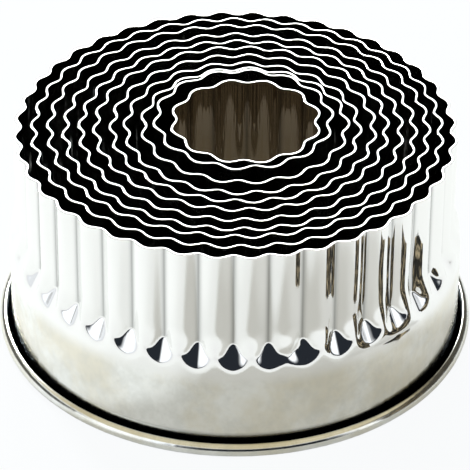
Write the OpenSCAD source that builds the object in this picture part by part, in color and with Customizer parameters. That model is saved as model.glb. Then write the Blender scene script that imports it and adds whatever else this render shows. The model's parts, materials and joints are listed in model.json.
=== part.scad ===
// Nest of eleven fluted round biscuit cutters, standing on their rolled rims with the cutting edges up.
// Each cutter is one strip of stainless sheet: a fluted upper wall, ramps where the flutes run out,
// a wider plain band, and a rim rolled outwards into a hollow bead. Sizes are in millimetres.
// The origin is on the table, under the middle of the largest cutter. +Z is up.

/* [Set] */
// Cutting diameter of the largest cutter, at half the depth of its flutes
largest_d = 95.25; // [92:0.25:102]
// How much smaller each next cutter is across
size_step = 6.35; // [6.1:0.05:6.6]
// Height of a cutter, from the table to the cutting edge
height = 49.8; // [44:0.2:58]
// Free play between a rolled rim and the wall of the cutter around it
nest_play = 0.7; // [0.4:0.05:0.9]
// Least gap left between a rolled rim and the wall that it leans towards
rim_clearance = 0.12; // [0.05:0.01:0.2]

/* [Sheet] */
// Thickness of the sheet
sheet_t = 0.45; // [0.3:0.05:0.6]
// Width of the plain band over the width of the fluted wall
band_flare_share = 1.048; // [1.03:0.001:1.06]

/* [Flutes] */
// Flutes on the largest cutter
flute_count_largest = 40; // [36:1:44]
// Fewer flutes on each next cutter, before rounding to a whole number
flute_count_step = 2.84; // [2.5:0.02:3]
// Depth of a flute over its width along the wall
flute_depth_share = 0.165; // [0.1:0.005:0.2]
// How much sharper the inner bends are than the outer ones
flute_sharpness = 0.08; // [0:0.01:0.15]
// Height of the upper tip of the ramp that closes each flute
ramp_top = 26.8; // [25:0.1:29]
// Height where the plain band begins
band_top = 21.4; // [18:0.1:23]

/* [Rim] */
// Thickness of the rolled rim of the largest cutter
roll_d = 3.2; // [2.8:0.1:3.6]
// How much of the underside of the rim is set flat
rim_flat = 0.1; // [0.05:0.01:0.15]
// Open gutter between the wall and the rolled edge, seen from above
roll_gap = 1.2; // [0.8:0.05:1.4]

/* [Hidden] */
// Which cutter is drawn

// The cutters stand loose, so each one lies a little off the middle of the one around it.
// Every pair is a share of the free play, to the right and to the back.
lean = [[0, 0], [0.56, 0.82], [0.52, 0.77], [0.44, -0.89], [0.41, 0.43], [0.13, 0.98],
        [0.69, -0.17], [-0.27, -0.15], [0.92, 0.36], [-0.48, 0.81], [0.85, -0.51]];
// Each cutter is turned by its own share of one flute
turn = [0.465, 0.373, 0.925, 0.885, 0.369, 0.231, 0.555, 0.87, 0.09, 0.277, 0.461];
// The three smallest cutters stand a little taller than the rest
extra_height = [0, 0, 0, 0, 0, 0, 0, 0, 0.5, 1.7, 1.3];

steel = [0.80, 0.80, 0.78];
// Straight sides used for one flute
flute_sides = 10;
// Straight sides used for the section of the rim
roll_sides = 22;
// How far a cutting shape runs past the solid that it cuts
past = 1;
// How far the ramp runs on under the flutes
tuck = 0.3;
$fn = 96;

// Half of the sheet
half_t = sheet_t / 2;
// Distance between the plain bands of two neighbours
band_pitch = size_step / 2 * band_flare_share;
// Rolled rim of every cutter but the largest, which has to fit inside its neighbour
inner_roll_d = band_pitch - nest_play;
// How far a cutter may lie off the middle
lean_reach = nest_play - rim_clearance;

function wall_r(i) = (largest_d - i * size_step) / 2;
function band_r(i) = wall_r(i) * band_flare_share + half_t;
function flutes(i) = round(flute_count_largest - i * flute_count_step);
function flute_amp(i) = flute_depth_share * PI * wall_r(i) / flutes(i);
function cutter_height(i) = height + extra_height[i];
function roll(i) = i == 0 ? roll_d : inner_roll_d;
function place(i) = i == 0 ? [0, 0] : place(i - 1) + lean[i] * lean_reach;

// Distance of the middle of the sheet from the axis, for an angle counted in flutes
function wave_r(i, f) = wall_r(i) + flute_amp(i) * (cos(360 * f) - flute_sharpness * cos(720 * f));
function valley_r(i) = wave_r(i, 0.5);

// Outline of the fluted wall, moved outwards from the middle of the sheet
module flute_outline(i, out) {
    count = flutes(i);
    polygon([for (k = [0 : count * flute_sides - 1])
        let (f = k / flute_sides, a = 360 * (f + turn[i]) / count, r = wave_r(i, f) + out)
        [r * cos(a), r * sin(a)]]);
}

// Solid bounded by the fluted wall above and by the ramps and the plain band below
module filled(i, out, low, high) {
    ramp_slope = (band_r(i) - half_t - valley_r(i)) / (ramp_top - band_top);
    band = band_r(i) - half_t + out;
    translate([0, 0, band_top])
        linear_extrude(high - band_top)
            flute_outline(i, out);
    rotate_extrude()
        polygon([
            [0, low],
            [band, low],
            [band, band_top],
            [valley_r(i) + out - tuck * ramp_slope, ramp_top + tuck],
            [0, ramp_top + tuck]
        ]);
}

// Hollow rolled rim, open towards the wall, with its underside set flat
module rolled_rim(i) {
    outer = roll(i) / 2;
    inner = outer - sheet_t;
    middle = band_r(i) - sheet_t + outer;
    end_angle = acos((band_r(i) + roll_gap - middle) / outer);
    sweep = 180 + end_angle;
    rotate_extrude()
        polygon(concat(
            [for (k = [0 : roll_sides])
                let (a = -180 + sweep * k / roll_sides)
                [middle + outer * cos(a), max(0, outer - rim_flat + outer * sin(a))]],
            [for (k = [roll_sides : -1 : 0])
                let (a = -180 + sweep * k / roll_sides)
                [middle + inner * cos(a), outer - rim_flat + inner * sin(a)]]
        ));
}

// One cutter, in its place in the nest
module cutter(i) {
    roll_middle = roll(i) / 2 - rim_flat;
    translate([place(i)[0], place(i)[1], 0]) {
        difference() {
            filled(i, half_t, roll_middle, cutter_height(i));
            filled(i, -half_t, roll_middle - past, cutter_height(i) + past);
        }
        rolled_rim(i);
    }
}

module cutter_01() { color(steel) cutter(0); }
module cutter_02() { color(steel) cutter(1); }
module cutter_03() { color(steel) cutter(2); }
module cutter_04() { color(steel) cutter(3); }
module cutter_05() { color(steel) cutter(4); }
module cutter_06() { color(steel) cutter(5); }
module cutter_07() { color(steel) cutter(6); }
module cutter_08() { color(steel) cutter(7); }
module cutter_09() { color(steel) cutter(8); }
module cutter_10() { color(steel) cutter(9); }
module cutter_11() { color(steel) cutter(10); }

cutter_01();
cutter_02();
cutter_03();
cutter_04();
cutter_05();
cutter_06();
cutter_07();
cutter_08();
cutter_09();
cutter_10();
cutter_11();
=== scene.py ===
"""Nest of eleven fluted biscuit cutters on a pale table, as photographed.

Each cutter is drawn again over its solid with rounder flutes, the pockets that close them,
the flare below them and a rolled rim, and is finished as polished stainless sheet.
"""
import json
import logging
import math
from dataclasses import dataclass, field
from enum import Enum

import bmesh
import bpy
from mathutils import Matrix, Vector

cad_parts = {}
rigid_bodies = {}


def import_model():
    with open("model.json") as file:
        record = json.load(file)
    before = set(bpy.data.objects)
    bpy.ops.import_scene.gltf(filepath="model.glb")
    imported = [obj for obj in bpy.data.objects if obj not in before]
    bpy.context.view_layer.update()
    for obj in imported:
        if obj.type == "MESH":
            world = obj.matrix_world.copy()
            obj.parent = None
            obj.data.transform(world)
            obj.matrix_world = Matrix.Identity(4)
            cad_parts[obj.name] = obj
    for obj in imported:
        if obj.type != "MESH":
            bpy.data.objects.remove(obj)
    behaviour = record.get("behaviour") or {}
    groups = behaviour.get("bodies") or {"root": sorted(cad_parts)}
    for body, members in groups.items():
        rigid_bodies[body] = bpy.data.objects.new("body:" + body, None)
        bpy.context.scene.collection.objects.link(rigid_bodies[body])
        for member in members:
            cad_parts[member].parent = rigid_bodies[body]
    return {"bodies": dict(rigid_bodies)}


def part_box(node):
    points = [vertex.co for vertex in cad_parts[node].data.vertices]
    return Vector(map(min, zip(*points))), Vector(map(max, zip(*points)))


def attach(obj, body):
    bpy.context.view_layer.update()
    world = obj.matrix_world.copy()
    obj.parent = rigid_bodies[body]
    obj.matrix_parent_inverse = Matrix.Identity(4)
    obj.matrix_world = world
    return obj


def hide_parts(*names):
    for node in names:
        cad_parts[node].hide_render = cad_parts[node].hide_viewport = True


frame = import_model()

Tint = tuple[float, float, float]
Place = tuple[float, float, float]
Span = tuple[float, float]
Socket = bpy.types.NodeSocket

MM = 0.001
# Values of a ramp at its low end and its high end
RISE = (0.0, 1.0)
FALL = (1.0, 0.0)
# The front of the nest, towards the camera, lies at this angle about the axis
FRONT = -math.pi / 2
# Rows of a mesh closer than this are one row
SAME_LEVEL = 1e-6
# Sockets of a mix node that mixes colours
FIRST_COLOUR = 6
SECOND_COLOUR = 7
MIXED_COLOUR = 2
# Marks that the meshes carry for the finish. This one is painted shade, near black, in the rolled rims'
# gutters and along the flute valleys
PAINTED_SHADE = "painted_shade"
# This mark is brown painted shade inside the smallest cutter's hole
HOLE_SHADE = "hole_shade"
log = logging.getLogger("cutters")


class Side(Enum):
    """Where a lamp stands, as seen from the camera."""

    BACK = "back"
    LEFT = "left"


def smooth_step(value: float, low: float, high: float) -> float:
    """Rise smoothly from 0 to 1.

    Args:
        value: Where to read the curve.
        low: Where the rise starts.
        high: Where the rise ends.

    Returns:
        0 below low, 1 above high, and an eased value between them.
    """
    share = min(1.0, max(0.0, (value - low) / (high - low)))
    return share * share * (3.0 - 2.0 * share)


def smooth_max(first: float, second: float, blend: float) -> float:
    """Take the larger of two lengths with a fillet where they meet.

    Args:
        first: One length.
        second: The other length.
        blend: Reach of the fillet.

    Returns:
        The larger length, a little more where both are close.
    """
    share = max(0.0, blend - abs(first - second)) / blend
    return max(first, second) + share * share * blend / 4


def clear_selection() -> None:
    """Leave edit mode and deselect every object."""
    if bpy.context.object and bpy.context.object.mode != "OBJECT":
        bpy.ops.object.mode_set(mode="OBJECT")
    bpy.ops.object.select_all(action="DESELECT")


def select_only(piece: bpy.types.Object) -> None:
    """Make one object the active and only selected one.

    Args:
        piece: The object.
    """
    clear_selection()
    bpy.context.view_layer.objects.active = piece
    piece.select_set(True)


class Graph:
    """Node tree of a finish or of the room, with short ways to add its nodes."""

    def __init__(self, tree: bpy.types.NodeTree) -> None:
        """Hold the node tree."""
        self.tree = tree

    def add(self, kind: str) -> bpy.types.Node:
        """Add a node of one kind."""
        return self.tree.nodes.new(kind)

    def feed(self, socket: Socket, value: Socket | Tint | float) -> None:
        """Fill an input.

        Args:
            socket: Input to fill.
            value: Output to link it to, or the colour or number that it holds.
        """
        if isinstance(value, Socket):
            self.tree.links.new(value, socket)
        elif isinstance(value, tuple):
            socket.default_value = (*value, 1.0)
        else:
            socket.default_value = value

    def coordinates(self, kind: str) -> Socket:
        """Give the texture coordinates of one kind."""
        return self.add("ShaderNodeTexCoord").outputs[kind]

    def split(self, vector: Socket) -> tuple[Socket, Socket, Socket]:
        """Split a vector.

        Args:
            vector: Vector to split.

        Returns:
            Its parts along X, Y and Z.
        """
        node = self.add("ShaderNodeSeparateXYZ")
        self.feed(node.inputs["Vector"], vector)
        return node.outputs["X"], node.outputs["Y"], node.outputs["Z"]

    def mark(self, name: str) -> Socket:
        """Read a mark that the mesh carries, or 0 where it has none.

        Args:
            name: Name of the mark.

        Returns:
            The output socket.
        """
        node = self.add("ShaderNodeAttribute")
        node.attribute_name = name
        return node.outputs["Fac"]

    def ramp(self, value: Socket, source: Span, target: Span = RISE) -> Socket:
        """Map a value from one span to another, eased and clamped.

        Args:
            value: Value to map.
            source: Span to read from.
            target: Span to write to.

        Returns:
            The output socket.
        """
        node = self.add("ShaderNodeMapRange")
        node.interpolation_type = "SMOOTHSTEP"
        node.inputs["From Min"].default_value, node.inputs["From Max"].default_value = source
        node.inputs["To Min"].default_value, node.inputs["To Max"].default_value = target
        self.feed(node.inputs["Value"], value)
        return node.outputs["Result"]

    def below(self, value: Socket, level: float, blur: float) -> Socket:
        """Give 1 below a level and 0 above it, eased over the blur on each side."""
        return self.ramp(value, (level + blur, level - blur))

    def between(self, value: Socket, span: Span, blur: float) -> Socket:
        """Give 1 inside a span and 0 outside it.

        Args:
            value: Value to read.
            span: The span.
            blur: How far each end is eased, to both sides.

        Returns:
            The output socket.
        """
        low, high = span
        above = self.ramp(value, (low - blur, low + blur))
        return self.math("MULTIPLY", above, self.below(value, high, blur))

    def math(self, operation: str, *values: Socket | float) -> Socket:
        """Work out one operation.

        Args:
            operation: Name of the operation.
            values: Sockets or numbers that it works on.

        Returns:
            The output socket.
        """
        node = self.add("ShaderNodeMath")
        node.operation = operation
        for socket, value in zip(node.inputs, values):
            self.feed(socket, value)
        return node.outputs["Value"]

    def mix(self, share: Socket, first: Socket | Tint, second: Socket | Tint) -> Socket:
        """Mix two colours.

        Args:
            share: Share of the second colour.
            first: First colour.
            second: Second colour.

        Returns:
            The output socket.
        """
        node = self.add("ShaderNodeMix")
        node.data_type = "RGBA"
        self.feed(node.inputs["Factor"], share)
        self.feed(node.inputs[FIRST_COLOUR], first)
        self.feed(node.inputs[SECOND_COLOUR], second)
        return node.outputs[MIXED_COLOUR]


@dataclass(frozen=True)
class Pattern:
    """Noise, with its waves per metre, its octaves, the weight of the finer ones and its stretch."""

    scale: float
    detail: float
    rough: float
    stretch: Place = (1.0, 1.0, 1.0)

    def draw(self, graph: Graph, place: Socket) -> Socket:
        """Add the noise.

        Args:
            graph: Node tree to add it to.
            place: Coordinates that it lies on.

        Returns:
            The output socket.
        """
        mapping = graph.add("ShaderNodeMapping")
        mapping.inputs["Scale"].default_value = self.stretch
        graph.feed(mapping.inputs["Vector"], place)
        noise = graph.add("ShaderNodeTexNoise")
        noise.inputs["Scale"].default_value = self.scale
        noise.inputs["Detail"].default_value = self.detail
        noise.inputs["Roughness"].default_value = self.rough
        graph.feed(noise.inputs["Vector"], mapping.outputs["Vector"])
        return noise.outputs["Fac"]


@dataclass(frozen=True)
class Steel:
    """Stainless sheet: mirror-bright where the flutes were pressed, mottled satin on the band."""

    name: str = "stainless_sheet"
    polished_tint: Tint = (0.93, 0.935, 0.93)
    satin_tint: Tint = (0.93, 0.94, 0.92)
    stain_tint: Tint = (0.80, 0.77, 0.67)
    worn_tint: Tint = (0.60, 0.61, 0.58)
    # Brown painted shade for the inside of the smallest cutter's hole
    hole_shade_tint: Tint = (0.34, 0.27, 0.17)
    # Near-black painted shade for the gutters and the flute valleys
    painted_shade_tint: Tint = (0.026, 0.032, 0.036)
    band_edge: Span = (16.5 * MM, 21.5 * MM)
    stains: Pattern = Pattern(42.0, 6.0, 0.62)
    stain_range: Span = (0.38, 0.62)
    wear: Pattern = Pattern(210.0, 8.0, 0.75, (1.0, 1.0, 0.8))
    wear_range: Span = (0.40, 0.64)
    wear_share: float = 0.32
    polished_rough: float = 0.045
    satin_rough: float = 0.17
    grain: Pattern = Pattern(700.0, 3.0, 0.55, (1.0, 1.0, 0.16))
    grain_range: Span = (0.3, 0.7)
    grain_rough: float = 0.035
    polished_grain: float = 0.4
    drawn: Pattern = Pattern(1500.0, 2.0, 0.5, (0.05, 0.05, 1.0))
    drawn_strength: float = 0.10
    drawn_depth: float = 0.02 * MM
    ripple: Pattern = Pattern(95.0, 2.0, 0.5, (1.0, 1.0, 0.55))
    ripple_strength: float = 0.35
    ripple_depth: float = 0.10 * MM

    def make(self) -> bpy.types.Material:
        """Build the material.

        Returns:
            The finished material.
        """
        material = bpy.data.materials.new(self.name)
        material.use_nodes = True
        graph = Graph(material.node_tree)
        shader = material.node_tree.nodes["Principled BSDF"]
        shader.inputs["Metallic"].default_value = 1.0
        place = graph.coordinates("Object")
        _, _, height = graph.split(place)
        band = graph.ramp(height, self.band_edge, FALL)
        graph.feed(shader.inputs["Base Color"], self._tint(graph, place, band))
        graph.feed(shader.inputs["Roughness"], self._roughness(graph, place, band))
        graph.feed(shader.inputs["Normal"], self._relief(graph, place))
        return material

    def _tint(self, graph: Graph, place: Socket, band: Socket) -> Socket:
        """Colour the bright flutes and the stained and worn band, and paint shade into the gutters, the
        flute valleys and the smallest cutter's hole.

        Args:
            graph: Node tree of the material.
            place: Object coordinates.
            band: 1 on the plain band and 0 on the flutes.

        Returns:
            The output socket.
        """
        stained = graph.ramp(self.stains.draw(graph, place), self.stain_range)
        worn = graph.ramp(self.wear.draw(graph, place), self.wear_range, (0.0, self.wear_share))
        satin = graph.mix(stained, self.satin_tint, self.stain_tint)
        satin = graph.mix(worn, satin, self.worn_tint)
        tint = graph.mix(band, self.polished_tint, satin)
        # Brown painted shade inside the smallest cutter's hole
        tint = graph.mix(graph.mark(HOLE_SHADE), tint, self.hole_shade_tint)
        # Near-black painted shade in the gutters and along the flute valleys
        return graph.mix(graph.mark(PAINTED_SHADE), tint, self.painted_shade_tint)

    def _roughness(self, graph: Graph, place: Socket, band: Socket) -> Socket:
        """Make the band duller than the flutes, both with a fine upright grain.

        Args:
            graph: Node tree of the material.
            place: Object coordinates.
            band: 1 on the plain band and 0 on the flutes.

        Returns:
            The output socket.
        """
        spread = (-self.grain_rough, self.grain_rough)
        grainy = graph.ramp(self.grain.draw(graph, place), self.grain_range, spread)
        share = graph.ramp(band, RISE, (self.polished_grain, 1.0))
        level = graph.ramp(band, RISE, (self.polished_rough, self.satin_rough))
        rough = graph.math("MULTIPLY_ADD", grainy, share, level)
        rough.node.use_clamp = True
        return rough

    def _relief(self, graph: Graph, place: Socket) -> Socket:
        """Add the fine lines round the sheet and its soft unevenness.

        Args:
            graph: Node tree of the material.
            place: Object coordinates.

        Returns:
            The output socket with the normal.
        """
        lines = self._bump(graph, self.drawn.draw(graph, place), self.drawn_strength, self.drawn_depth)
        ripple = self._bump(graph, self.ripple.draw(graph, place), self.ripple_strength, self.ripple_depth)
        graph.feed(ripple.inputs["Normal"], lines.outputs["Normal"])
        return ripple.outputs["Normal"]

    @staticmethod
    def _bump(graph: Graph, height: Socket, strength: float, depth: float) -> bpy.types.Node:
        """Add one layer of relief.

        Args:
            graph: Node tree of the material.
            height: Pattern to raise.
            strength: Share of the relief that shows.
            depth: Depth of the pattern.

        Returns:
            The bump node.
        """
        bump = graph.add("ShaderNodeBump")
        bump.inputs["Strength"].default_value = strength
        bump.inputs["Distance"].default_value = depth
        graph.feed(bump.inputs["Height"], height)
        return bump


@dataclass(frozen=True)
class Dent:
    """Soft dent that use has left, with its azimuth in degrees from the front to the right."""

    azimuth: float
    height: float
    width: float
    rise: float
    depth: float

    def press(self, azimuth: float, height: float, wall: float) -> float:
        """Give how far the dent pushes the sheet inwards.

        Args:
            azimuth: Angle from the front towards the right, in radians.
            height: Height over the table.
            wall: Radius of the wall.

        Returns:
            The push in metres.
        """
        along = wall * math.remainder(azimuth - math.radians(self.azimuth), 2 * math.pi) / self.width
        up = (height - self.height) / self.rise
        return self.depth * math.exp(-along * along - up * up)


@dataclass(frozen=True)
class Pressing:
    """Sizes that all cutters share, as the sheet was pressed and rolled, the painted shade and the dents of
    use.
    """

    sheet: float = 0.45 * MM
    size_step: float = 6.35 * MM
    largest_steps: int = 15
    band_flare: float = 1.048
    # Flutes
    flutes_largest: int = 40
    flutes_step: float = 2.84
    depth_share: float = 0.165
    sharpness: float = 0.08
    turns: tuple[float, ...] = (0.465, 0.373, 0.925, 0.885, 0.369, 0.231, 0.555, 0.87, 0.09, 0.277, 0.461)
    # Flare from the flutes to the plain band
    flare_top: float = 30.9 * MM
    flare_fade: float = 6.4 * MM
    flare_ease: float = 6.0 * MM
    flare_reach: float = 9.0 * MM
    # Pockets that close the flutes
    pocket_top: float = 26.8 * MM
    pocket_foot: float = 21.2 * MM
    pocket_fold: float = 0.50 * MM
    pocket_cup: float = 1.30 * MM
    cup_power: int = 3
    pocket_round: float = 0.55 * MM
    pocket_seam: float = 0.18 * MM
    # Rolled rim and cut edges
    gutter: float = 1.2 * MM
    rim_sink: float = 0.05 * MM
    table_gap: float = 0.002 * MM
    edge_round: float = 0.08 * MM
    edge_segments: int = 2
    sharp_angle: float = 60.0
    # Painted shade in the gutter, along the flute valleys and inside the smallest cutter, and the dents of
    # use
    # The gutter's painted shade also runs this far up the foot of the wall
    gutter_shade_reach: float = 2.0 * MM
    # Faint painted shade along the flute valleys: its share, and its reach in columns to each side
    valley_shade: float = 0.55
    valley_shade_reach: float = 2.5
    # Brown painted shade inside the hole of this cutter, and its share
    hole_shade_index: int = 10
    hole_shade_share: float = 0.74
    dented_index: int = 0
    dents: tuple[Dent, ...] = (
        Dent(14.5, 24.2 * MM, 2.2 * MM, 1.7 * MM, 0.75 * MM),
        Dent(42.0, 20.6 * MM, 8.0 * MM, 0.5 * MM, 0.22 * MM),
        Dent(41.0, 38.0 * MM, 1.9 * MM, 6.0 * MM, 0.22 * MM),
        Dent(52.0, 33.0 * MM, 1.6 * MM, 4.0 * MM, 0.25 * MM),
        Dent(57.0, 42.0 * MM, 2.0 * MM, 3.5 * MM, 0.22 * MM),
        Dent(33.0, 30.0 * MM, 1.6 * MM, 7.0 * MM, 0.18 * MM),
    )
    # Rows and columns of the mesh
    flute_columns: int = 16
    roll_rows: int = 20
    foot_rows: int = 5
    band_rows: int = 4
    pocket_rows: int = 25
    flare_rows: int = 6
    flute_rows: int = 8
    below_pocket: float = 0.9 * MM
    above_pocket: float = 0.8 * MM
    above_flare: float = 1.5 * MM
    edge_row: float = 0.30 * MM
    # Radius of the plain tube as a share of the wall's, and reach of the press as a share of the band's
    tube_share: float = 0.9
    press_share: float = 1.01


@dataclass
class Cutter:
    """One fluted cutter, built over its solid."""

    index: int
    steel: bpy.types.Material
    pressing: Pressing = field(default_factory=Pressing)
    node: str = field(init=False)
    centre: Vector = field(init=False)
    top: float = field(init=False)
    wall: float = field(init=False)
    band: float = field(init=False)
    roll: float = field(init=False)
    roll_middle: float = field(init=False)
    roll_arc: float = field(init=False)
    flutes: int = field(init=False)
    depth: float = field(init=False)
    turn: float = field(init=False)

    def __post_init__(self) -> None:
        """Read the place and reach of the solid from the frame and work out the other sizes."""
        press = self.pressing
        self.node = f"cutter_{self.index + 1:02d}"
        low, high = (Vector(corner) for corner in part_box(self.node))
        self.centre = Vector(((low.x + high.x) / 2, (low.y + high.y) / 2, 0.0))
        self.top = high.z
        self.wall = (press.largest_steps - self.index) * press.size_step / 2
        self.band = self.wall * press.band_flare
        self.roll = (high.x - low.x) / 2 - self.band + press.sheet / 2
        self.roll_middle = self.roll / 2 - press.rim_sink
        self.roll_arc = math.pi + math.acos(2 * (press.gutter + press.sheet) / self.roll - 1)
        self.flutes = round(press.flutes_largest - self.index * press.flutes_step)
        self.depth = press.depth_share * math.pi * self.wall / self.flutes
        self.turn = 2 * math.pi * press.turns[self.index]

    def build(self) -> bpy.types.Object:
        """Model the cutter and hand it to the frame.

        Returns:
            The finished piece.
        """
        piece = self._draw_wall()
        self._press_flutes(piece)
        self._roll_rim(piece)
        self._give_thickness(piece)
        # Paint shade into the gutter and along the flute valleys
        self._paint_shade(piece)
        # Paint brown shade inside the smallest cutter's hole
        if self.index == self.pressing.hole_shade_index:
            self._paint_hole_shade(piece)
        self._dress(piece)
        return piece

    def _rows(self) -> list[float]:
        """List the heights of the rows of the wall.

        Returns:
            The heights, from the middle of the rim upwards.
        """
        press = self.pressing
        stops = [
            (self.roll_middle, press.foot_rows),
            (self.roll + press.gutter_shade_reach, press.band_rows),
            (press.pocket_foot - press.below_pocket, press.pocket_rows),
            (press.pocket_top + press.above_pocket, press.flare_rows),
            (press.flare_top + press.above_flare, press.flute_rows),
            (self.top - press.edge_row, 1),
            (self.top, 0),
        ]
        rows = []
        for (low, count), (high, _) in zip(stops, stops[1:]):
            rows += [low + (high - low) * k / count for k in range(count)]
        return rows + [self.top]

    def _draw_wall(self) -> bpy.types.Object:
        """Raise a plain tube from a circle, one row at a time.

        Returns:
            The tube.
        """
        clear_selection()
        rows = self._rows()
        bpy.ops.mesh.primitive_circle_add(
            vertices=self.flutes * self.pressing.flute_columns, radius=self.wall * self.pressing.tube_share,
            fill_type="NOTHING", location=(self.centre.x, self.centre.y, rows[0]),
            rotation=(0, 0, self.turn / self.flutes + FRONT))
        piece = bpy.context.object
        piece.name = piece.data.name = f"fluted_{self.node}"
        bpy.ops.object.transform_apply(location=True, rotation=True, scale=True)
        bpy.ops.object.mode_set(mode="EDIT")
        bpy.ops.mesh.select_all(action="SELECT")
        for low, high in zip(rows, rows[1:]):
            bpy.ops.mesh.extrude_region_move(TRANSFORM_OT_translate={"value": (0, 0, high - low)})
        bpy.ops.mesh.select_all(action="SELECT")
        bpy.ops.mesh.normals_make_consistent(inside=False)
        bpy.ops.object.mode_set(mode="OBJECT")
        return piece

    def _off_valley(self, angle: float) -> float:
        """Give how far an angle lies off the bottom of its flute, 1 being the crest."""
        return abs((self.flutes * angle - self.turn) / math.pi % 2 - 1)

    def _flare(self, height: float) -> float:
        """Give how far the crests have run out into the plain band.

        Args:
            height: Height over the table.

        Returns:
            0 at the top of the flare, and towards 1 at its foot.
        """
        press = self.pressing
        below = press.flare_top - height
        if below <= 0:
            return 0.0
        return (1 - math.exp(-below / press.flare_fade)) * smooth_step(below, 0, press.flare_ease)

    def _dented(self, angle: float, height: float) -> float:
        """Give how far the dents of the largest cutter push its sheet inwards.

        Args:
            angle: Angle about the axis, in radians.
            height: Height over the table.

        Returns:
            The push in metres, 0 on every other cutter.
        """
        if self.index != self.pressing.dented_index:
            return 0.0
        return sum(dent.press(angle - FRONT, height, self.wall) for dent in self.pressing.dents)

    def _reach(self, angle: float, height: float) -> float:
        """Give the distance of the sheet's middle from the axis.

        Args:
            angle: Angle about the axis, in radians.
            height: Height over the table.

        Returns:
            The distance in metres.
        """
        press = self.pressing
        phase = self.flutes * angle - self.turn
        crest = self.wall + self.depth * (1 - press.sharpness)
        valley = self.wall - self.depth * (1 + press.sharpness)
        flare = self._flare(height)
        lobe = self.depth * (math.cos(phase) - press.sharpness * math.cos(2 * phase))
        share = (self.wall + lobe - valley) / (crest - valley)
        fluted = valley + (crest + (self.band - crest) * flare - valley) * share
        slope = (self.band - valley) / (press.pocket_top - press.pocket_foot)
        off_valley = self._off_valley(angle)
        rise = press.pocket_fold * off_valley + press.pocket_cup * off_valley ** press.cup_power
        facet = valley + (press.pocket_top - height) * slope + rise
        widest = max(flare, smooth_step(press.flare_top - height, 0, press.flare_reach))
        limit = crest + (self.band - crest) * widest
        pocket = -smooth_max(-facet, -limit, press.pocket_round)
        return smooth_max(fluted, pocket, press.pocket_seam) - self._dented(angle, height)

    def _press_flutes(self, piece: bpy.types.Object) -> None:
        """Press the flutes, pockets and flare into the plain tube.

        Args:
            piece: The tube.
        """
        base = self.wall * self.pressing.tube_share
        span = self.band * self.pressing.press_share - base
        group = piece.vertex_groups.new(name="pressed")
        for vertex in piece.data.vertices:
            spot = vertex.co - self.centre
            reach = self._reach(math.atan2(spot.y, spot.x), spot.z)
            group.add([vertex.index], (reach - base) / span, "REPLACE")
        press = piece.modifiers.new("press", "DISPLACE")
        press.vertex_group = group.name
        press.mid_level = 0.0
        press.strength = span
        self._apply(piece, press)
        piece.vertex_groups.clear()

    def _roll_rim(self, piece: bpy.types.Object) -> None:
        """Curl the lower edge outwards into the rim.

        Args:
            piece: The fluted wall.
        """
        press = self.pressing
        select_only(piece)
        foot = min(vertex.co.z for vertex in piece.data.vertices)
        bpy.ops.object.mode_set(mode="EDIT")
        bpy.ops.mesh.select_mode(type="EDGE")
        bpy.ops.mesh.select_all(action="DESELECT")
        mesh = bmesh.from_edit_mesh(piece.data)
        for edge in mesh.edges:
            edge.select_set(all(abs(vertex.co.z - foot) < SAME_LEVEL for vertex in edge.verts))
        bmesh.update_edit_mesh(piece.data)
        across = (self.roll - press.sheet) / 2
        upright = self.roll_middle - press.sheet / 2 - press.table_gap
        radius, height = self.band, foot
        for k in range(1, press.roll_rows + 1):
            angle = math.pi + self.roll_arc * k / press.roll_rows
            reach = self.band + across + across * math.cos(angle)
            level = self.roll_middle + upright * math.sin(angle)
            share = reach / radius
            bpy.ops.mesh.extrude_region_move(TRANSFORM_OT_translate={"value": (0, 0, level - height)})
            bpy.ops.transform.resize(value=(share, share, 1),
                                     center_override=(self.centre.x, self.centre.y, level))
            radius, height = reach, level
        bpy.ops.mesh.select_mode(type="VERT")
        bpy.ops.mesh.select_all(action="SELECT")
        bpy.ops.mesh.normals_make_consistent(inside=False)
        bpy.ops.object.mode_set(mode="OBJECT")

    def _give_thickness(self, piece: bpy.types.Object) -> None:
        """Give the sheet its thickness and round its cut edges.

        Args:
            piece: The open sheet.
        """
        press = self.pressing
        sharp = math.radians(press.sharp_angle)
        wall = piece.modifiers.new("sheet", "SOLIDIFY")
        wall.thickness = press.sheet
        wall.offset = 0.0
        wall.use_even_offset = True
        self._apply(piece, wall)
        edge = piece.modifiers.new("edge", "BEVEL")
        edge.width = press.edge_round
        edge.segments = press.edge_segments
        edge.limit_method = "ANGLE"
        edge.angle_limit = sharp
        self._apply(piece, edge)
        select_only(piece)
        bpy.ops.object.shade_smooth_by_angle(angle=sharp)

    @staticmethod
    def _apply(piece: bpy.types.Object, modifier: bpy.types.Modifier) -> None:
        """Apply one modifier to a piece."""
        select_only(piece)
        bpy.ops.object.modifier_apply(modifier=modifier.name)

    def _paint_shade(self, piece: bpy.types.Object) -> None:
        """Mark the painted shade in the rolled rim's gutter and along the flute valleys.

        Args:
            piece: The finished sheet.
        """
        painted_shade = piece.data.attributes.new(PAINTED_SHADE, "FLOAT", "POINT")
        for vertex, mark in zip(piece.data.vertices, painted_shade.data):
            spot = vertex.co - self.centre
            mark.value = max(self._gutter_shade(spot), self._valley_shade(spot))

    def _gutter_shade(self, spot: Vector) -> float:
        """Give the painted shade inside the rolled rim and on the foot of the wall beside it.

        Args:
            spot: Point of the sheet, from the cutter's axis.

        Returns:
            The share of painted shade.
        """
        press = self.pressing
        reach = math.hypot(spot.x, spot.y)
        middle = self.band - press.sheet / 2 + self.roll / 2
        hollow = (self.roll - press.sheet) / 2
        off_middle = math.hypot(reach - middle, spot.z - self.roll_middle)
        deep = smooth_step(hollow - off_middle, 0, press.sheet / 4)
        on_outer_face = self.band < reach < self.band + press.sheet
        if not on_outer_face or spot.z <= self.roll_middle:
            return deep
        return max(deep, smooth_step(self.roll + press.gutter_shade_reach - spot.z, 0, press.gutter_shade_reach))

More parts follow.
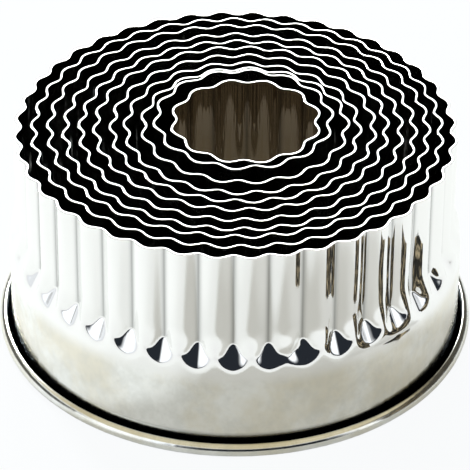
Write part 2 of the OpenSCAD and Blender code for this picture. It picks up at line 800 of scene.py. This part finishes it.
    def _valley_shade(self, spot: Vector) -> float:
        """Give the faint painted shade along the bottom of each flute.

        Args:
            spot: Point of the sheet, from the cutter's axis.

        Returns:
            The share of painted shade.
        """
        press = self.pressing
        off_fold = self._off_valley(math.atan2(spot.y, spot.x)) * press.flute_columns / 2
        if spot.z <= press.pocket_top or off_fold >= press.valley_shade_reach:
            return 0.0
        return press.valley_shade * (1 - off_fold / press.valley_shade_reach) ** 2

    def _paint_hole_shade(self, piece: bpy.types.Object) -> None:
        """Mark the inner face of the wall with brown painted shade, for the deep hole of the smallest
        cutter.

        Args:
            piece: The finished sheet.
        """
        hole_shade = piece.data.attributes.new(HOLE_SHADE, "FLOAT", "POINT")
        edge = self.top - self.pressing.edge_row / 2
        for vertex, mark in zip(piece.data.vertices, hole_shade.data):
            spot = vertex.co - self.centre
            inside = math.hypot(spot.x, spot.y) < self._reach(math.atan2(spot.y, spot.x), spot.z)
            if inside and spot.z < edge:
                mark.value = self.pressing.hole_shade_share

    def _dress(self, piece: bpy.types.Object) -> None:
        """Give the piece its finish and tie it to its body.

        Args:
            piece: The finished sheet.
        """
        piece.data.materials.clear()
        piece.data.materials.append(self.steel)
        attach(piece, self.node)
        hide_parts(self.node)
        log.info("%s: %d flutes, %.1f mm at mid-flute, %d faces",
                 piece.name, self.flutes, 2 * self.wall / MM, len(piece.data.polygons))


@dataclass(frozen=True)
class Table:
    """Pale table, white for the camera, with the shadow of the nest kept."""

    reach: float = 4.0
    sides: int = 96
    tint: Tint = (0.83, 0.86, 0.89)
    rough: float = 0.9
    glow_tint: Tint = (0.975, 0.99, 1.0)
    glow_seen: float = 0.95
    # Glow that the metal mirrors, beside the nest and away from it
    glow_mirrored: Span = (0.24, 0.60)
    glow_reach: Span = (0.10, 0.30)

    def build(self) -> None:
        """Lay the table."""
        clear_selection()
        bpy.ops.mesh.primitive_circle_add(vertices=self.sides, radius=self.reach, fill_type="NGON")
        table = bpy.context.object
        table.name = "table"
        table.data.materials.append(self._make())

    def _make(self) -> bpy.types.Material:
        """Build the table's material.

        Returns:
            The finished material.
        """
        material = bpy.data.materials.new("table_top")
        material.use_nodes = True
        graph = Graph(material.node_tree)
        shader = material.node_tree.nodes["Principled BSDF"]
        graph.feed(shader.inputs["Base Color"], self.tint)
        shader.inputs["Roughness"].default_value = self.rough
        shader.inputs["Specular IOR Level"].default_value = 0.0
        white = graph.add("ShaderNodeEmission")
        graph.feed(white.inputs["Color"], self.glow_tint)
        white.inputs["Strength"].default_value = 1.0
        mix = graph.add("ShaderNodeMixShader")
        graph.feed(mix.inputs["Fac"], self._glow(graph))
        graph.feed(mix.inputs[1], shader.outputs["BSDF"])
        graph.feed(mix.inputs[2], white.outputs["Emission"])
        graph.feed(material.node_tree.nodes["Material Output"].inputs["Surface"], mix.outputs["Shader"])
        return material

    def _glow(self, graph: Graph) -> Socket:
        """Give the share of plain white, for the camera and for what the metal mirrors.

        Args:
            graph: Node tree of the material.

        Returns:
            The output socket.
        """
        path = graph.add("ShaderNodeLightPath")
        away = graph.add("ShaderNodeVectorMath")
        away.operation = "LENGTH"
        graph.feed(away.inputs[0], graph.coordinates("Object"))
        far = graph.ramp(away.outputs["Value"], self.glow_reach, self.glow_mirrored)
        mirrored = graph.math("MAXIMUM", path.outputs["Is Glossy Ray"], path.outputs["Is Transmission Ray"])
        mirrored = graph.math("MULTIPLY", mirrored, far)
        seen = graph.math("MULTIPLY", path.outputs["Is Camera Ray"], self.glow_seen)
        return graph.math("MAXIMUM", seen, mirrored)


@dataclass(frozen=True)
class Room:
    """Room that the metal mirrors: white walls with dark frames, a warm ceiling and a dark front.

    Rises, sides and backs are shares of a unit ray from the nest, up, to the side and to the back.
    Turns are in degrees from the front to the right.
    """

    wall_tint: Tint = (1.18, 1.22, 1.26)
    ceiling_tint: Tint = (0.66, 0.60, 0.43)
    ceiling_rise: Span = (0.60, 0.72)
    dark_tint: Tint = (0.020, 0.024, 0.031)
    dark_turn: Span = (-28.0, 52.0)
    dark_turn_blur: float = 8.0
    dark_rise: float = 0.61
    dark_rise_blur: float = 0.05
    skirting_rise: float = 0.07
    skirting_side: Span = (-0.80, -0.40)
    skirting_share: Span = (0.30, 1.0)
    edge_blur: float = 0.03
    frame_side: Span = (0.22, 0.32)
    frame_back: Span = (-0.30, -0.10)
    left_frame: Span = (0.09, 0.58)
    left_frame_tint: Tint = (0.11, 0.11, 0.10)
    right_frame: Span = (0.10, 0.76)
    right_frame_tint: Tint = (0.07, 0.065, 0.055)

    def build(self) -> None:
        """Paint the room."""
        world = bpy.data.worlds.new("room")
        bpy.context.scene.world = world
        world.use_nodes = True
        graph = Graph(world.node_tree)
        right, back, rise = graph.split(graph.coordinates("Generated"))
        walls = graph.mix(graph.ramp(rise, self.ceiling_rise), self.wall_tint, self.ceiling_tint)
        at_back = graph.ramp(back, self.frame_back)
        left = graph.math("MULTIPLY", right, -1.0)
        left_frame = self._frame(graph, left, rise, at_back, self.left_frame)
        right_frame = self._frame(graph, right, rise, at_back, self.right_frame)
        walls = graph.mix(left_frame, walls, self.left_frame_tint)
        walls = graph.mix(right_frame, walls, self.right_frame_tint)
        front = self._front(graph, right, back, rise)
        skirting = self._skirting(graph, right, rise)
        dark = graph.math("MAXIMUM", front, skirting)
        background = world.node_tree.nodes["Background"]
        graph.feed(background.inputs["Color"], graph.mix(dark, walls, self.dark_tint))
        background.inputs["Strength"].default_value = 1.0

    def _frame(self, graph: Graph, side: Socket, rise: Socket, at_back: Socket, span: Span) -> Socket:
        """Give the dark frame on one side wall.

        Args:
            graph: Node tree of the room.
            side: Share of the ray to that side.
            rise: Share of the ray upwards.
            at_back: 1 at the side and the back of the room, 0 at its front.
            span: Lowest and highest rise of the frame.

        Returns:
            The output socket.
        """
        frame_height = graph.between(rise, span, self.edge_blur)
        on_side = graph.ramp(side, self.frame_side)
        return graph.math("MULTIPLY", graph.math("MULTIPLY", frame_height, on_side), at_back)

    def _front(self, graph: Graph, right: Socket, back: Socket, rise: Socket) -> Socket:
        """Give the dark front, where the camera stands.

        Args:
            graph: Node tree of the room.
            right: Share of the ray to the right.
            back: Share of the ray to the back.
            rise: Share of the ray upwards.

        Returns:
            The output socket.
        """
        turn = graph.math("ARCTAN2", right, graph.math("MULTIPLY", back, -1.0))
        low, high = (math.radians(end) for end in self.dark_turn)
        in_front = graph.between(turn, (low, high), math.radians(self.dark_turn_blur))
        return graph.math("MULTIPLY", in_front, graph.below(rise, self.dark_rise, self.dark_rise_blur))

    def _skirting(self, graph: Graph, right: Socket, rise: Socket) -> Socket:
        """Give the dark skirting, which is fainter at the left.

        Args:
            graph: Node tree of the room.
            right: Share of the ray to the right.
            rise: Share of the ray upwards.

        Returns:
            The output socket.
        """
        low = graph.below(rise, self.skirting_rise, self.edge_blur)
        return graph.math("MULTIPLY", low, graph.ramp(right, self.skirting_side, self.skirting_share))


@dataclass(frozen=True)
class DarkFlag:
    """Dark sheet at the right, hidden from the camera, from diffuse light and from shadows, which only the
    flutes there mirror: a painted dark reflection, seen as brown streaks with painted beige highlights.
    """

    place: Place = (0.062, -0.042, 0.0145)
    reach: Span = (0.023, 0.019)
    tint: Tint = (0.030, 0.028, 0.025)
    # Painted beige highlights in the dark reflection
    painted_highlight_tint: Tint = (0.75, 0.62, 0.42)
    rough: float = 0.9
    painted_highlights: Pattern = Pattern(5.0, 3.0, 0.5)
    highlight_range: Span = (0.46, 0.66)

    def build(self) -> None:
        """Hang the flag beside the rim, a little over the table."""
        clear_selection()
        bpy.ops.mesh.primitive_plane_add(size=1.0, location=self.place, rotation=(0, math.pi / 2, 0))
        flag = bpy.context.object
        flag.name = "dark_flag"
        bpy.ops.transform.resize(value=(1.0, *self.reach), center_override=self.place)
        flag.data.materials.append(self._make())
        # Seen only in the metal's reflections, as a painted reflection
        flag.visible_camera = False
        flag.visible_diffuse = False
        flag.visible_shadow = False

    def _make(self) -> bpy.types.Material:
        """Build the flag's painted reflection: dark, with painted beige highlights from noise counted over
        the whole flag.

        Returns:
            The finished material.
        """
        material = bpy.data.materials.new("flag_painted_reflection")
        material.use_nodes = True
        graph = Graph(material.node_tree)
        shader = material.node_tree.nodes["Principled BSDF"]
        shader.inputs["Roughness"].default_value = self.rough
        painted_highlights = graph.ramp(self.painted_highlights.draw(graph, graph.coordinates("Object")), self.highlight_range)
        graph.feed(shader.inputs["Base Color"], graph.mix(painted_highlights, self.tint, self.painted_highlight_tint))
        return material


@dataclass(frozen=True)
class Lamp:
    """Soft lamp that points at the nest, with its width and height in metres and its power in watts."""

    side: Side
    place: Place
    reach: Span
    power: float
    tint: Tint
    aim: Place = (0.0, 0.0, 20.0 * MM)

    def build(self) -> None:
        """Hang the lamp."""
        clear_selection()
        bpy.ops.object.light_add(type="AREA", location=self.place)
        lamp = bpy.context.object
        lamp.name = f"lamp_{self.side.value}"
        lamp.data.shape = "RECTANGLE"
        lamp.data.size, lamp.data.size_y = self.reach
        lamp.data.energy = self.power
        lamp.data.color = self.tint
        lamp.rotation_euler = (Vector(self.aim) - Vector(self.place)).to_track_quat("-Z", "Y").to_euler()


@dataclass(frozen=True)
class Studio:
    """Table, room, flag and lamps round the nest."""

    table: Table = Table()
    room: Room = Room()
    flag: DarkFlag = DarkFlag()
    lamps: tuple[Lamp, ...] = (
        Lamp(Side.LEFT, (-0.58, 1.19, 0.95), (0.26, 0.26), 24.0, (0.95, 0.985, 1.0)),
        Lamp(Side.BACK, (0.02, 1.32, 0.95), (0.36, 0.5), 8.0, (1.0, 1.0, 1.0)),
    )

    def build(self) -> None:
        """Set up everything round the nest."""
        self.table.build()
        self.room.build()
        self.flag.build()
        for lamp in self.lamps:
            lamp.build()


@dataclass(frozen=True)
class Camera:
    """Camera at the photograph's angle, fitted in units of the inner edge of the largest cutter."""

    unit: float = 47.34 * MM
    level: float = 49.8 * MM
    elevation: float = 35.507
    aim_back: float = -0.84106
    aim_right: float = -0.00036
    distance: float = 16.234
    roll: float = 0.376
    lens: float = 281.11
    sensor: float = 36.0
    clip: Span = (0.05, 20.0)

    def build(self) -> None:
        """Set the camera on the nest."""
        clear_selection()
        aim = Vector((self.aim_right, self.aim_back, 0.0)) * self.unit + Vector((0, 0, self.level))
        rise = math.radians(self.elevation)
        away = Vector((0.0, -math.cos(rise), math.sin(rise)))
        bpy.ops.object.camera_add(location=aim + away * self.distance * self.unit)
        camera = bpy.context.object
        camera.name = "camera"
        camera.data.lens = self.lens
        camera.data.sensor_width = self.sensor
        camera.data.clip_start, camera.data.clip_end = self.clip
        turn = (-away).to_track_quat("-Z", "Y").to_matrix().to_4x4()
        camera.rotation_euler = (turn @ Matrix.Rotation(math.radians(self.roll), 4, "Z")).to_euler()
        bpy.context.scene.camera = camera
        bpy.context.scene.view_settings.view_transform = "Standard"


def main() -> None:
    """Build the cutters, the studio and the camera."""
    logging.basicConfig(level=logging.INFO, format="%(name)s %(message)s")
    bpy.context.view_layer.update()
    Camera().build()
    steel = Steel().make()
    for index in range(len(frame["bodies"])):
        Cutter(index, steel).build()
    Studio().build()


if __name__ == "__main__":
    main()
